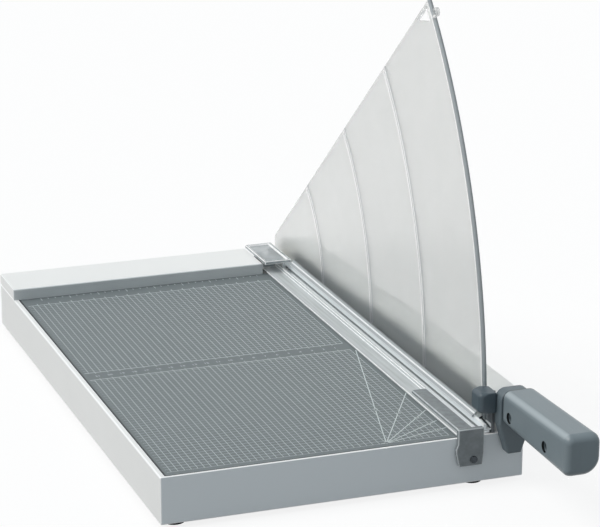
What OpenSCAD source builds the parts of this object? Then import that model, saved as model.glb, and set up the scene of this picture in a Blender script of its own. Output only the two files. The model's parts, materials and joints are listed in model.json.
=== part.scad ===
// Guillotine paper cutter: hollow tray base with a printed table, clear blade
// guard standing along the cut, spring-lifted clamp bar and a hinged blade arm.
// The sub-parts are drawn from the base's front left lower corner: X to the
// right, Y to the back, Z up. in_frame() then moves them to the middle of the
// footprint, with the feet standing on Z = 0.

/* [Base] */
// Width of the base, left to right
base_w = 283; // [270:1:320]
// Length of the base, front to back
base_l = 477; // [460:1:520]
// Height of the base without its feet
base_h = 36.5; // [34:0.5:42]
// Thickness of the tray's side walls
wall_t = 2.6; // [2.2:0.1:3]
// Thickness of the deck that carries the table
deck_t = 2; // [1.6:0.1:2.6]
// Width of the bare rim left of the table
rim_w = 4.35; // [3.5:0.05:6]
// Thickness of the bottom plate
floor_t = 2; // [1.5:0.1:2.5]

/* [Table] */
// Thickness of the printed table
table_t = 2; // [1.5:0.1:2.5]
// Gap between the table and the rim
table_gap = 0.4; // [0.2:0.1:0.8]
// Depth of the table's face below the rim
table_recess = 0.4; // [0.2:0.1:0.8]

/* [Back rail] */
// Height of the back rail above the rim
rail_h = 9.25; // [8:0.25:12]
// Depth of the back rail with its facing
rail_d = 49.25; // [46:0.25:54]
// Open end between the rail and the bed knife
rail_open = 25.65; // [25:0.5:30]
// Thickness of the rail's walls
rail_t = 2.5; // [2:0.1:3]
// Thickness of the facing on the rail's front
facing_t = 2; // [1.5:0.1:2.5]

/* [Feet] */
// Height of the rubber feet
foot_h = 4; // [3:0.5:6]
// Radius of the rubber feet
foot_r = 8; // [7:0.5:10]
// Distance of the foot screws from the left, front and back sides
foot_inset = 14; // [12:0.5:16]
// Distance of the front right foot screw from the right side
foot_inset_r = 36; // [36:0.5:40]

/* [Cut] */
// Distance of the cutting line from the right side
cut_inset = 25.05; // [25.05:0.1:26.55]
// Running gap between the bed knife and the blade
shear_gap = 0.05; // [0.03:0.01:0.08]
// Width of the bed knife
knife_w = 6; // [5:0.5:6.5]
// Height of the bed knife
knife_h = 18; // [16:0.5:20]
// Thickness of the blade
blade_t = 2.4; // [2:0.1:2.6]
// Width of the slot that the blade drops into
slot_w = 2.75; // [2.7:0.05:3]
// Depth of the blade's edge below the pivot
blade_drop = 6.2; // [5:0.1:8]

/* [Arm] */
// Distance of the pivot from the back
pivot_back = 17; // [16:0.5:18]
// Depth of the pivot below the top of the base
pivot_sink = 1.8; // [1:0.1:2.5]
// Radius of the pivot bolt
pivot_r = 5; // [4:0.25:5.5]
// Running clearance between the bolt and the bush
pivot_gap = 0.05; // [0.03:0.01:0.08]
// Opening angle of the arm
arm_open = 35.6; // [30:0.1:36]
// Height of the arm's top above the base, at the front
arm_rise = 28.5; // [27:0.5:30]
// Depth of the arm beam
arm_d = 14.5; // [14:0.5:16]
// Thickness of the arm beam's walls
arm_t = 2.5; // [2:0.1:3]

/* [Handle] */
// Reach of the handle in front of the base
handle_reach = 120; // [105:1:140]
// Overhang of the handle beyond the right side
handle_over = 4; // [2:0.5:5]
// Thickness of the hand guard
hand_guard_t = 11; // [9:0.5:13]
// Height of the hand guard's lower end above the base's underside
hand_guard_z = 24; // [18:0.5:26]
// Thickness of the handle's steel tang
tang_t = 5; // [4:0.25:5.5]

/* [Guard] */
// Distance of the guard's rim from the base's front, at the pivot's height
rim_inset = 10.4; // [10.2:0.1:12]
// Thickness of the guard's sheet
guard_t = 2.7; // [2.4:0.1:2.8]
// Angle of the guard's upper edge
guard_slope = 39.35; // [38:0.05:40]
// Distance of the guard's upper edge from the pivot
guard_offset = 25.1; // [24:0.1:28]
// Width of the link above the guard's window
link_w = 2; // [1.5:0.25:3]
// Width of the rim strip beside the guard's window
strip_w = 6; // [5:0.25:7]
// Height of the beads on the guard's face
bead_h = 0.5; // [0.3:0.1:0.8]
// Length of the guard's window along its upper edge
window_l = 32; // [24:1:40]
// Height of the paper gap below the guard's channel
paper_gap = 2.2; // [1.5:0.1:3]

/* [Clamp] */
// Lift of the clamp when the arm is fully open
clamp_lift = 6; // [4:0.5:6]
// Width of the clamp bar's foot
clamp_w = 15; // [13:0.5:16]
// Thickness of the clamp bar's foot
clamp_t = 1.7; // [1.5:0.1:2.2]
// Height of the rib on the clamp bar
clamp_rib = 4.4; // [3:0.1:4.6]
// Length of the front cap
cap_l = 100; // [80:1:130]
// Radius of the clamp's guide posts
post_r = 3; // [2.5:0.25:3.5]
// Running clearance of the guide posts
post_gap = 0.05; // [0.04:0.01:0.08]
// Wire radius of the clamp springs
wire_r = 0.6; // [0.4:0.05:0.7]

/* [Fasteners] */
// Radius of the small screws
screw_r = 1.5; // [1.25:0.05:1.75]
// Radius of the small screws' heads
head_r = 2.8; // [2.5:0.1:3]
// Height of the small screws' heads
head_h = 1.8; // [1.4:0.1:2]
// Radius of the knife, blade and handle screws
bolt_r = 1.9; // [1.75:0.05:2.1]
// Radius of the knife, blade and handle screws' heads
bolt_head_r = 3.5; // [3.2:0.1:3.8]
// Height of the knife, blade and handle screws' heads
bolt_head_h = 2; // [1.6:0.1:2.4]

/* [Hidden] */
$fn = 48;

fit = 0.1;           // clearance of one fixed piece in another
run = 0.3;           // clearance between pieces that pass each other
over = 1;            // how far a cutter runs past the face that it opens

// heights
table_z = base_h - table_recess;          // face of the table
deck_z = table_z - table_t;               // top of the deck
deck_under = deck_z - deck_t;             // underside of the deck
rail_z = base_h + rail_h;                 // top of the back rail
channel_z = base_h + paper_gap;           // underside of the guard's channel

// cutting line and the pieces beside it
cut_x = base_w - cut_inset;               // right face of the bed knife
blade_x = cut_x + shear_gap;              // left face of the blade
knife_x = cut_x - knife_w;                // left face of the bed knife
rail_w = knife_x - rail_open;             // length of the back rail
rib_t = 4.4;                              // thickness of the rib behind the knife
rib_x = knife_x - rib_t;
strip_x = cut_x + slot_w;                 // left side of the strip right of the slot
arm_x = blade_x + blade_t;                // left side of the arm beam
rail_y = base_l - rail_d;                 // front of the facing

// pivot and the bay around it
pivot_y = base_l - pivot_back;
pivot_z = base_h - pivot_sink;
bay_y = pivot_y - 24;                     // front of the bay that the arm's end drops into
bay_wall = 2.4;                           // wall between the slot and the bay
bay_z = 18;                               // floor of the bay
slot_end = bay_y - bay_wall;              // back of the slot
end_r = 14;                               // radius of the arm's round end

// guard
guard_r = pivot_y - rim_inset;            // radius of the rim about the pivot
guard_x = cut_x - 4.2;                    // left face of the sheet
channel_floor = 1.5;                      // floor of the channel
channel_top = channel_z + 5;              // top of the channel's walls
channel_wall = 2.5;                       // left wall of the channel
channel_right = 1.2;                      // right wall of the channel
sheet_z = channel_z + channel_floor + 0.05;
guard_back = 13;                          // how far the sheet runs behind the pivot
guard_round = 8;                          // radius of its lower back corner
channel_end = pivot_y - pivot_r - 1;      // back end of the channel, in front of the pivot bolt
edge_t = 2;                               // thickness of the flange round the rim
edge_side = 0.15;                         // how far the flange stands out on the left
edge_w = guard_t + edge_side + 0.75;      // width of the flange
window_tilt = -30;                        // its sill, against the upper edge
flange_y = 20;                            // front end of the sheet's foot flange
flange_end = rail_y - 6;                  // back end of it
stop_r = 3.4;                             // radius of the stop lug
stop_hole = 1.7;                          // hole in the stop lug
stop_reach = 6.5;                         // its centre's distance outside the rim

// slider that the arm carries round the rim
slider_w = 14.1;
slider_z = base_h + 18.5;
slider_h = 16;
slider_back = rim_inset - run;            // face in front of the rim
slider_lip = 1.5;                          // how far the lip beside the sheet reaches behind the rim
slider_top = atan((slider_z + slider_h - pivot_z) / (pivot_y - slider_back));
stop_angle = slider_top + arm_open + 0.1 + asin(stop_r / (guard_r + stop_reach));

// arm beam, in distances from the base's front
arm_front = -1.9;                         // front end, behind the hand guard
slider_y = arm_front - 4.1;               // front face of the slider
arm_flat = pivot_y - 280;                 // where the beam starts to taper
arm_taper = pivot_y - 165;                // where the taper eases
arm_top = base_h + arm_rise;
taper_drop = 5;
end_drop = 9;
arm_in = arm_x + arm_t;                   // inner face of its left wall
arm_out = base_w - arm_t;                 // inner face of its right wall
blade_front = wall_t + 0.4;
blade_end = slot_end - 1.6;
blade_cover = 4;                          // how far the blade stays below the beam's top
blade_bolt_in = 67;                       // first blade screw from the blade's front
blade_bolt_out = 22;                      // last blade screw from the blade's back
blade_bolts = [for (k = [0 : 5]) blade_front + blade_bolt_in
    + k * (blade_end - blade_front - blade_bolt_in - blade_bolt_out) / 5];

// pivot stack, along X
bracket_t = knife_w - 0.05;
bush_t = 2;                               // wall of the bush
bush_l = 8;                               // length of the bush
bore_out = pivot_r + 4.2;                 // counterbore for the bolt's head
washer_t = 1.9;
nut_t = 5.5;
head_t = 6;
nut_x = rib_x - nut_t;
bush_end = arm_in + fit + bush_l;
spring_t = 2.4;
bolt_head_x = bush_end + spring_t + 0.1;

// tang and handle
tang_h = 9;
tang_z = base_h + 15.3;
tang_back = 45;
tang_shift = tang_t;                      // sideways joggle inside the hand guard
tang_bolt_z = tang_z + tang_h / 2;
tang_bolts = [22, 37];
slider_bolt_y = slider_back - 3.3;
slider_bolt_z = tang_z + tang_h - 3;
handle_y = arm_front - hand_guard_t;      // back end of the handle
handle_x = arm_x - 0.9;                   // flat left face
collar_x = handle_x - 2;                  // left side of the hand guard
handle_right = base_w + handle_over;
handle_z = base_h + 11.5;                 // underside
handle_top = base_h + 40;                 // top at the front
handle_fall = 2.4;                         // how much lower the top is at the hand guard
handle_sink = 2.5;                        // how much lower the underside is at the front
handle_end = 6;                           // length of its rounded end
handle_screw_end = handle_right - 12;
handle_wall = 3.6;
palm_r = 13;                              // radius of the handle's lower right side
split_x = arm_in + tang_shift + tang_t / 2;
handle_bolt_in = 10.5;                    // first handle screw from the handle's back end
handle_bolt_pitch = 60;
handle_bolts = [handle_y - handle_bolt_in, handle_y - handle_bolt_in - handle_bolt_pitch];
handle_bolt_z = tang_z + 4.8;
recess_r = 4.3;                           // recess round a handle screw's head
recess_d = 5.4;

// clamp
clamp_gap = 0.5;                          // gap between the closed clamp and the table
clamp_z = table_z + clamp_gap;
clamp_right = guard_x - 8.75;             // right edge of the bar
clamp_x = clamp_right - clamp_w;
cap_x = clamp_x + 2;
cap_w = clamp_w - 3;
tab_x = cap_x - 3.5;                      // left and right sides of the tab
tab_right = cap_x + 17;
cap_y = -4;
cap_top = base_h + 4.5;
tab_t = 2.5;
tab_top = base_h + 7.5;
tab_low = base_h - 21.5;
clamp_back = rail_y + 16;                 // back end of the bar
plate_t = 3;
plate_lip = 2;                            // width of the lip round the back plate
plate_z = rail_z + 0.25;                  // underside of the back plate
plate_y = rail_y - 5.5;
plate_x = rail_w + 0.3;
plate_right = guard_x - 2.5;
leg_y = rail_y + 11;
leg_t = 3;
post_low = 14;                            // lower end of the posts
front_post = [cap_x + cap_w / 2, 32];
rear_post = [plate_x + 5.5, rail_y + 27];
post_boss = 8.3;
well_r = 6;                               // well round each spring
front_seat = 22;                          // seat of the front spring
rear_seat = 30;                           // seat of the rear spring
coil_r = 4.6;
pocket_x = plate_x + 0.7;                 // pocket in the tray below the back plate
pocket_right = nut_x - 3.5;
pocket_z = rear_seat;
guide_x = cap_x + 9;
guide_z = base_h - 16.7;
guide_r = 2;

// fasteners under the base
boss_r = 4.5;
boss_low = floor_t + fit;
foot_spots = [[foot_inset, foot_inset], [base_w - foot_inset_r, foot_inset],
    [foot_inset, base_l - foot_inset], [base_w - foot_inset, base_l - foot_inset]];
rail_bolt_in = 20;                        // outer rail screws from the rail's ends
rail_spots = [for (k = [0 : 2]) [rail_bolt_in + k * (rail_w - 2 * rail_bolt_in) / 2, rail_y + rail_d / 2]];
knife_bolt_in = 50;                       // outer knife screws from the slot's ends
knife_bolts = [for (k = [0 : 4]) knife_bolt_in + k * (slot_end - 2 * knife_bolt_in) / 4];
knife_bolt_z = base_h - knife_h / 2;
plate_spots = [for (x = [foot_inset, base_w - foot_inset_r],
    y = [(knife_bolts[0] + knife_bolts[1]) / 2, (knife_bolts[3] + knife_bolts[4]) / 2]) [x, y]];
bracket_z = 8;
bracket_spots = [pivot_y - 16, pivot_y + 8];
bracket_bolt_z = bracket_z + 6;

// Moves the base's corner frame to the middle of the footprint, feet on Z = 0
module in_frame() {
    translate([-handle_right / 2, -(base_l - handle_reach) / 2, foot_h]) children();
}

// Box between two corners
module box(low, high) {
    translate(low) cube(high - low);
}

// Round bar along X between two places
module bar_x(x0, x1, y, z, r) {
    translate([x0, y, z]) rotate([0, 90, 0]) cylinder(r = r, h = x1 - x0);
}

// Round bar along Y between two places
module bar_y(y0, y1, x, z, r) {
    translate([x, y0, z]) rotate([-90, 0, 0]) cylinder(r = r, h = y1 - y0);
}

// Round bar along Z between two heights
module bar_z(x, y, z0, z1, r) {
    translate([x, y, z0]) cylinder(r = r, h = z1 - z0);
}

// Plate across X from a side view sketched about the pivot: forward, up
module side_plate(x, t) {
    translate([x + t, pivot_y, pivot_z]) rotate([90, 0, -90]) linear_extrude(t) children();
}

// Profile across X and Z, carried along Y
module along_y(y0, y1) {
    translate([0, y1, 0]) rotate([90, 0, 0]) linear_extrude(y1 - y0) children();
}

// Screw along X: the head starts at x and lies on the left (side -1) or right (side 1) of it
module screw_x(x, y, z, len, side, r, hr, hh) {
    bar_x(side < 0 ? x - hh : x, side < 0 ? x : x + hh, y, z, hr);
    bar_x(side < 0 ? x : x - len, side < 0 ? x + len : x, y, z, r);
}

// Screw pointing up from z, its head below
module screw_up(x, y, z, len, r, hr, hh) {
    bar_z(x, y, z - hh, z, hr);
    bar_z(x, y, z, z + len, r);
}

// ---------------------------------------------------------------- base

// Places of the bosses under the deck
module under_bosses(r, z0, z1) {
    for (p = concat(foot_spots, plate_spots)) bar_z(p[0], p[1], z0, z1, r);
}

// The hollow spaces below the deck
module tray_hollows() {
    difference() {
        union() {
            box([wall_t, wall_t, -over], [rib_x, base_l - wall_t, deck_under]);
            box([strip_x + wall_t, wall_t, -over], [base_w - wall_t, slot_end, base_h - arm_t]);
            box([cut_x + bay_wall, bay_y + wall_t, -over], [base_w - wall_t, base_l - wall_t, bay_z - wall_t]);
        }
        under_bosses(boss_r, boss_low, base_h);
        bar_z(front_post[0], front_post[1], post_low - 4, base_h, post_boss);
        bar_z(rear_post[0], rear_post[1], post_low - 4, base_h, post_boss);
        box([rib_x, bay_y, boss_low], [knife_x, base_l, base_h]);
        box([pocket_x - wall_t, rail_y, pocket_z - deck_t], [nut_x - 2, base_l, base_h]);
    }
}

// Guide bore and spring well of one clamp post
module post_bore(p, seat) {
    bar_z(p[0], p[1], post_low - 5, seat, post_r + post_gap);
    bar_z(p[0], p[1], seat, base_h + over, well_r);
}

// Painted tray: rim, deck, knife rib, blade slot and the bay for the arm's end
module base_tray() {
    color("whitesmoke") in_frame() difference() {
        union() {
            cube([base_w, base_l, base_h]);
            box([rib_x, bay_y, base_h - over], [guard_x - channel_wall - 0.15, base_l - wall_t, rail_z - 0.75]);
        }
        tray_hollows();
        box([rim_w, wall_t, deck_z], [knife_x, rail_y + facing_t, base_h + over]);
        box([knife_x, wall_t, -over], [strip_x, slot_end, base_h + over]);
        box([knife_x, bay_y, bracket_z], [cut_x, pivot_y + 14.2, base_h + over]);
        box([pocket_x, rail_y, pocket_z], [pocket_right, base_l - wall_t, base_h + over]);
        box([cut_x, bay_y, bay_z], [base_w + over, base_l + over, base_h + over]);
        under_bosses(bolt_r, -over, boss_low + 12);
        box([wall_t, wall_t, -over], [base_w - wall_t, base_l - wall_t, boss_low]);
        post_bore(front_post, front_seat);
        post_bore(rear_post, rear_seat);
        for (p = rail_spots) bar_z(p[0], p[1], deck_under - over, base_h + over, screw_r + fit);
        for (y = knife_bolts) bar_x(rib_x - over, knife_x + over, y, knife_bolt_z, bolt_r + fit);
        for (y = bracket_spots) bar_x(rib_x - over, knife_x + over, y, bracket_bolt_z, bolt_r + fit);
        bar_x(rib_x - over, knife_x + over, pivot_y, pivot_z, pivot_r + fit);
        box([nut_x - 2, pivot_y - 10, deck_under - over], [rib_x, pivot_y + 10, base_h + over]);
        hull() {
            bar_y(-over, wall_t + over, guide_x, guide_z, guide_r + 0.15);
            bar_y(-over, wall_t + over, guide_x, guide_z + clamp_lift, guide_r + 0.15);
        }
    }
}

// Plate that closes the tray from below
module bottom_plate() {
    color("dimgray") in_frame() difference() {
        box([wall_t + fit, wall_t + fit, 0], [base_w - wall_t - fit, base_l - wall_t - fit, floor_t]);
        under_bosses(bolt_r + fit, -over, floor_t + over);
    }
}

// Screws that hold the bottom plate between the feet
module bottom_plate_screws() {
    color("silver") in_frame() for (p = plate_spots) screw_up(p[0], p[1], 0, 10, bolt_r, bolt_head_r, head_h);
}

// Rubber feet with a recess for the screw's head
module rubber_feet() {
    color([0.08, 0.08, 0.09]) in_frame() for (p = foot_spots) difference() {
        bar_z(p[0], p[1], -foot_h, 0, foot_r);
        bar_z(p[0], p[1], -foot_h - over, -foot_h / 2, bolt_head_r + fit);
        bar_z(p[0], p[1], -foot_h, over, bolt_r + fit);
    }
}

// Screws through the feet into the tray's bosses
module foot_screws() {
    color("silver") in_frame() for (p = foot_spots)
        screw_up(p[0], p[1], -foot_h / 2, 12, bolt_r, bolt_head_r, foot_h / 2 - 0.4);
}

// Printed table on the deck
module cutting_table() {
    color([0.8, 0.82, 0.82]) in_frame() difference() {
        box([rim_w + table_gap, wall_t + table_gap, deck_z],
            [knife_x - fit, rail_y + facing_t - fit, table_z]);
        bar_z(front_post[0], front_post[1], deck_z - over, table_z + over, well_r + 0.2);
    }
}

// Hollow rail across the back
module back_rail() {
    color("whitesmoke") in_frame() difference() {
        box([0, rail_y + facing_t, base_h], [rail_w, base_l, rail_z]);
        difference() {
            box([rail_t, rail_y + facing_t + rail_t, base_h - over],
                [rail_w - rail_t, base_l - rail_t, rail_z - rail_t]);
            for (p = rail_spots) bar_z(p[0], p[1], base_h - over, rail_z, boss_r);
        }
        for (p = rail_spots) bar_z(p[0], p[1], base_h - over, rail_z - rail_t - 0.5, screw_r);
    }
}

// Slate strip on the rail's front, which squares the paper
module rail_facing() {
    color([0.42, 0.46, 0.47]) in_frame() {
        box([0, rail_y, base_h], [rail_w, rail_y + facing_t, rail_z - 0.35]);
        box([rim_w + table_gap, rail_y, table_z], [rail_w, rail_y + facing_t, base_h + fit]);
    }
}

// Screws that hold the rail from below
module rail_screws() {
    color("silver") in_frame() for (p = rail_spots)
        screw_up(p[0], p[1], deck_under, rail_z - rail_t - deck_under - 1.5, screw_r, head_r, head_h);
}

// Hardened strip that the blade shears against
module bed_knife() {
    color("lightgray") in_frame() difference() {
        box([knife_x, wall_t + fit, base_h - knife_h], [cut_x, slot_end - fit, base_h]);
        for (y = knife_bolts) bar_x(knife_x - over, cut_x - 1, y, knife_bolt_z, bolt_r);
        bar_z(guard_x + guard_t / 2, 6, base_h - 5, base_h + over, 1.2);
    }
}

// Screws through the tray's rib into the bed knife
module bed_knife_screws() {
    color("silver") in_frame() for (y = knife_bolts)
        screw_x(rib_x, y, knife_bolt_z, rib_t + knife_w - 1.5, -1, bolt_r, bolt_head_r, bolt_head_h);
}

// ---------------------------------------------------------------- guard

// Clear channel that carries the guard's sheet over the paper gap
module guard_channel() {
    color([0.85, 0.9, 0.92, 0.5]) in_frame() difference() {
        union() {
            box([guard_x - 0.05 - channel_wall, wall_t, channel_z],
                [guard_x + guard_t + 0.05 + channel_right, channel_end, channel_top]);
            box([knife_x, wall_t + 0.4, base_h], [guard_x + guard_t, 9, channel_z + over]);
        }
        box([guard_x - 0.05, wall_t - over, channel_z + channel_floor],
            [guard_x + guard_t + 0.05, channel_end + over, channel_top + over]);
        bar_z(guard_x + guard_t / 2, 6, base_h - over, channel_top, 1.2);
    }
}

// Screw that holds the channel's front end on the bed knife
module guard_channel_screw() {
    color("silver") in_frame() {
        bar_z(guard_x + guard_t / 2, 6, base_h - 4, channel_z + channel_floor, 1.2);
        bar_z(guard_x + guard_t / 2, 6, channel_z + channel_floor, channel_z + channel_floor + 1, 1.35);
    }
}

// Side view of the guard's sheet, about the pivot
module guard_outline() {
    foot_w = sheet_z - pivot_z;
    round_u = guard_round - guard_back;
    round_w = (guard_offset - guard_round + round_u * sin(guard_slope)) / cos(guard_slope);
    corner = [for (a = [180 : -(90 - guard_slope) / 4 : 90 + guard_slope - 0.1])
        [round_u + guard_round * cos(a), round_w + guard_round * sin(a)]];
    far = 1.2 * guard_r;
    difference() {
        intersection() {
            circle(r = guard_r, $fn = 240);
            polygon(concat([[far, foot_w], [-guard_back, foot_w]],
                corner, [[far * cos(guard_slope) - guard_offset * sin(guard_slope),
                far * sin(guard_slope) + guard_offset * cos(guard_slope)]]));
        }
        // window between the link and the rim
        intersection() {
            circle(r = guard_r - strip_w, $fn = 240);
            rotate(guard_slope) translate([0, guard_offset - link_w - guard_r])
                square([2 * guard_r, guard_r]);
            rotate(guard_slope) translate([sqrt(pow(guard_r, 2) - pow(guard_offset, 2)) - window_l,
                guard_offset]) rotate(window_tilt) translate([-window_l, 0]) square(3 * window_l);
        }
    }
}

// Lug outside the rim that stops the slider
module stop_lug() {
    rotate(stop_angle) translate([guard_r + stop_reach, 0]) circle(r = stop_r);
    rotate(stop_angle - 0.25) translate([guard_r - 2, 0]) square([stop_reach, stop_r * 0.8]);
}

// Clear moulded guard: sheet, flange round the rim, face beads, foot flange and stop lug
module guard_panel() {
    color([0.85, 0.9, 0.92, 0.4]) in_frame() {
        difference() {
            union() {
                side_plate(guard_x, guard_t) {
                    guard_outline();
                    stop_lug();
                }
                side_plate(guard_x - edge_side, edge_w) intersection() {
                    guard_outline();
                    translate([0, channel_top + 0.5 - pivot_z]) square(guard_r);
                    difference() {
                        circle(r = guard_r + over);
                        circle(r = guard_r - edge_t, $fn = 240);
                    }
                }
                side_plate(guard_x - bead_h, 2 * bead_h) intersection() {
                    for (k = [1 : 3]) difference() {
                        circle(r = guard_r * k / 4 + 0.9, $fn = 180);
                        circle(r = guard_r * k / 4 - 0.9, $fn = 180);
                    }
                    rotate(guard_slope) translate([0, guard_offset - 3 - guard_r])
                        square([guard_r, guard_r]);
                    translate([0, base_h + 13 - pivot_z]) square(guard_r);
                }
            }
            side_plate(guard_x - over, guard_t + 2 * over)
                rotate(stop_angle) translate([guard_r + stop_reach, 0]) circle(r = stop_hole);
        }
        along_y(flange_y, flange_end) polygon([
            [guard_x + 0.2, base_h + 12], [guard_x - 4.7, base_h + 7.9],
            [guard_x - 3.8, base_h + 6.9], [guard_x + 0.2, base_h + 10.1]]);
    }
}

// ---------------------------------------------------------------- pivot

// Steel bracket: seat of the channel and thread of the pivot bolt
module pivot_bracket() {
    color("silver") in_frame() difference() {
        box([knife_x, bay_y, bracket_z], [knife_x + bracket_t, pivot_y + 14, channel_z]);
        bar_x(knife_x - over, cut_x + over, pivot_y, pivot_z, pivot_r);
        for (y = bracket_spots) bar_x(knife_x - over, cut_x - 1, y, bracket_bolt_z, bolt_r);
    }
}

// Screws through the rib into the bracket
module bracket_screws() {
    color("silver") in_frame() for (y = bracket_spots)
        screw_x(rib_x, y, bracket_bolt_z, rib_t + knife_w - 1.5, -1, bolt_r, bolt_head_r, bolt_head_h);
}

// Pivot bolt: head inside the arm, shank through bush, washer, bracket and rib
module pivot_bolt() {
    color("silver") in_frame() difference() {
        union() {
            bar_x(nut_x - 1, bolt_head_x, pivot_y, pivot_z, pivot_r);
            bar_x(bolt_head_x, bolt_head_x + head_t, pivot_y, pivot_z, pivot_r + 3);
        }
        translate([bolt_head_x + head_t - 3, pivot_y, pivot_z]) rotate([0, 90, 0])
            cylinder(r = 3.4, h = 4, $fn = 6);
    }
}

// Nut on the pivot bolt's end
module pivot_nut() {
    color("silver") in_frame() difference() {
        translate([nut_x, pivot_y, pivot_z]) rotate([0, 90, 0]) cylinder(r = pivot_r + 3, h = nut_t, $fn = 6);
        bar_x(nut_x - over, rib_x + over, pivot_y, pivot_z, pivot_r);
    }
}

// Washer between the bracket and the arm
module thrust_washer() {
    color("tan") in_frame() difference() {
        bar_x(cut_x, cut_x + washer_t, pivot_y, pivot_z, pivot_r + 4);
        bar_x(cut_x - over, cut_x + washer_t + over, pivot_y, pivot_z, pivot_r);
    }
}

// Disc spring that holds the arm against the bed knife
module disc_spring() {
    color("gray") in_frame() translate([bush_end + 0.1, pivot_y, pivot_z]) rotate([0, 90, 0])
        rotate_extrude() polygon([[pivot_r, spring_t - 1], [pivot_r, spring_t],
            [pivot_r + 3.4, 1], [pivot_r + 3.4, 0]]);
}

// ---------------------------------------------------------------- arm

// Side view of the arm, lowered by d at its top edge, drawn about the pivot
module arm_outline(d) {
    polygon([
        [pivot_y - arm_front, arm_top - 1.5 - d - pivot_z],
        [pivot_y - 25, arm_top - d - pivot_z],
        [pivot_y - arm_flat, arm_top - d - pivot_z],
        [pivot_y - arm_taper, arm_top - taper_drop - d - pivot_z],
        [-8, arm_top - end_drop - d - pivot_z],
        [-end_r, arm_top - end_drop - 7 - d - pivot_z],
        [-end_r, 0],
        [end_r, 0],
        [end_r + 3, arm_top - end_drop - arm_d - 3 - pivot_z],
        [pivot_y - arm_taper, arm_top - taper_drop - arm_d - pivot_z],
        [pivot_y - arm_flat, arm_top - arm_d - 0.5 - pivot_z],
        [pivot_y - arm_front, arm_top - arm_d - pivot_z]]);
}

// Places of the blade screws: distance from the front and height
function blade_bolt_z(y) = arm_top - 9.3
    - (y < arm_flat ? 0 : y < arm_taper ? taper_drop * (y - arm_flat) / (arm_taper - arm_flat)
    : taper_drop + (end_drop - taper_drop) * (y - arm_taper) / (pivot_y + 8 - arm_taper));

// Arm beam: inverted channel with two round cheeks at the pivot
module arm_beam() {
    color("whitesmoke") in_frame() difference() {
        side_plate(arm_x, base_w - arm_x) {
            arm_outline(0);
            circle(r = end_r);
        }
        difference() {
            side_plate(arm_in, arm_out - arm_in) {
                translate([0, -arm_t]) arm_outline(0);
                translate([-end_r - over, -2 * end_r]) square([2 * end_r + 6, 2 * end_r + 9]);
            }
            box([arm_in - over, arm_front - over, 0], [arm_out + over, arm_front + arm_t, arm_top]);
        }
        box([arm_in, arm_front + arm_t, 0], [arm_out, pivot_y - end_r, arm_top - end_drop - arm_d]);
        box([arm_in, arm_front + arm_t, 0], [arm_out, arm_taper, arm_top - arm_d + 2]);
        bar_x(arm_x - over, arm_in + over, pivot_y, pivot_z, pivot_r + fit);
        bar_x(arm_out - over, base_w + over, pivot_y, pivot_z, bore_out);
        for (y = blade_bolts) bar_x(arm_x - over, arm_in + over, y, blade_bolt_z(y), bolt_r + fit);
        for (y = tang_bolts) bar_x(arm_x - over, arm_in + over, y, tang_bolt_z, bolt_r + fit);
        bar_x(arm_x - over, arm_in + over, slider_bolt_y, slider_bolt_z, bolt_r + fit);
        box([arm_in, arm_front - over, tang_z - fit],
            [arm_in + tang_t + fit, arm_front + arm_t + over, tang_z + tang_h + fit]);
        for (k = [-1, 1]) bar_x(arm_out - over, base_w + over, pivot_y - 8 + 9 * k, arm_top - end_drop - 6.5,
            screw_r + fit);
    }
}

// Steel blade: flat on the left, ground on the right
module upper_blade() {
    color("lightgray") in_frame() difference() {
        side_plate(blade_x, blade_t) intersection() {
            translate([0, -blade_cover]) polygon([
                [pivot_y - blade_end, -40], [pivot_y, -40],
                [pivot_y, arm_top - pivot_z],
                [pivot_y - arm_flat, arm_top - pivot_z],
                [pivot_y - arm_taper, arm_top - taper_drop - pivot_z],
                [pivot_y - blade_end, arm_top - end_drop + 0.8 - pivot_z]]);
            translate([pivot_y - blade_end, -blade_drop]) square([blade_end - blade_front, 60]);
        }
        along_y(blade_front - over, blade_end + over) polygon([
            [blade_x, pivot_z - blade_drop - 0.01], [arm_x + over, pivot_z - blade_drop - 0.01],
            [arm_x + over, pivot_z - blade_drop + 7], [arm_x, pivot_z - blade_drop + 5]]);
        for (y = blade_bolts) bar_x(blade_x + 0.6, arm_x + over, y, blade_bolt_z(y), bolt_r);
        for (y = tang_bolts) bar_x(blade_x + 0.6, arm_x + over, y, tang_bolt_z, bolt_r);
        bar_x(blade_x - over, arm_x + over, slider_bolt_y, slider_bolt_z, bolt_r + fit);
    }
}

// Screws inside the arm that hold the blade
module blade_screws() {
    color("silver") in_frame() for (y = blade_bolts)
        screw_x(arm_in, y, blade_bolt_z(y), arm_in - blade_x - 0.8, 1, bolt_r, bolt_head_r - 0.5, bolt_head_h);
}

// Cast knuckle between the arm's cheeks
module pivot_knuckle() {
    color("gray") in_frame() difference() {
        side_plate(arm_in + fit, arm_out - arm_in - 2 * fit) {
            circle(r = end_r - 0.5);
            translate([-7, 0]) square([end_r + 5, arm_top - end_drop - 3.5 - pivot_z]);
        }
        bar_x(arm_in, bush_end, pivot_y, pivot_z, pivot_r + bush_t);
        bar_x(bush_end, arm_out + over, pivot_y, pivot_z, bore_out);
        for (k = [-1, 1]) bar_x(arm_out - 8, arm_out + over, pivot_y - 8 + 9 * k, arm_top - end_drop - 6.5,
            screw_r);
    }
}

// Screws through the right cheek into the knuckle
module knuckle_screws() {
    color("silver") in_frame() for (k = [-1, 1])
        screw_x(base_w, pivot_y - 8 + 9 * k, arm_top - end_drop - 6.5, arm_t + 6, 1, screw_r, head_r, head_h);
}

// Bronze bush in the knuckle
module pivot_bush() {
    color("darkgoldenrod") in_frame() difference() {
        bar_x(arm_in + fit, bush_end, pivot_y, pivot_z, pivot_r + bush_t);
        bar_x(arm_in, bush_end + over, pivot_y, pivot_z, pivot_r + pivot_gap);
    }
}

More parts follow.
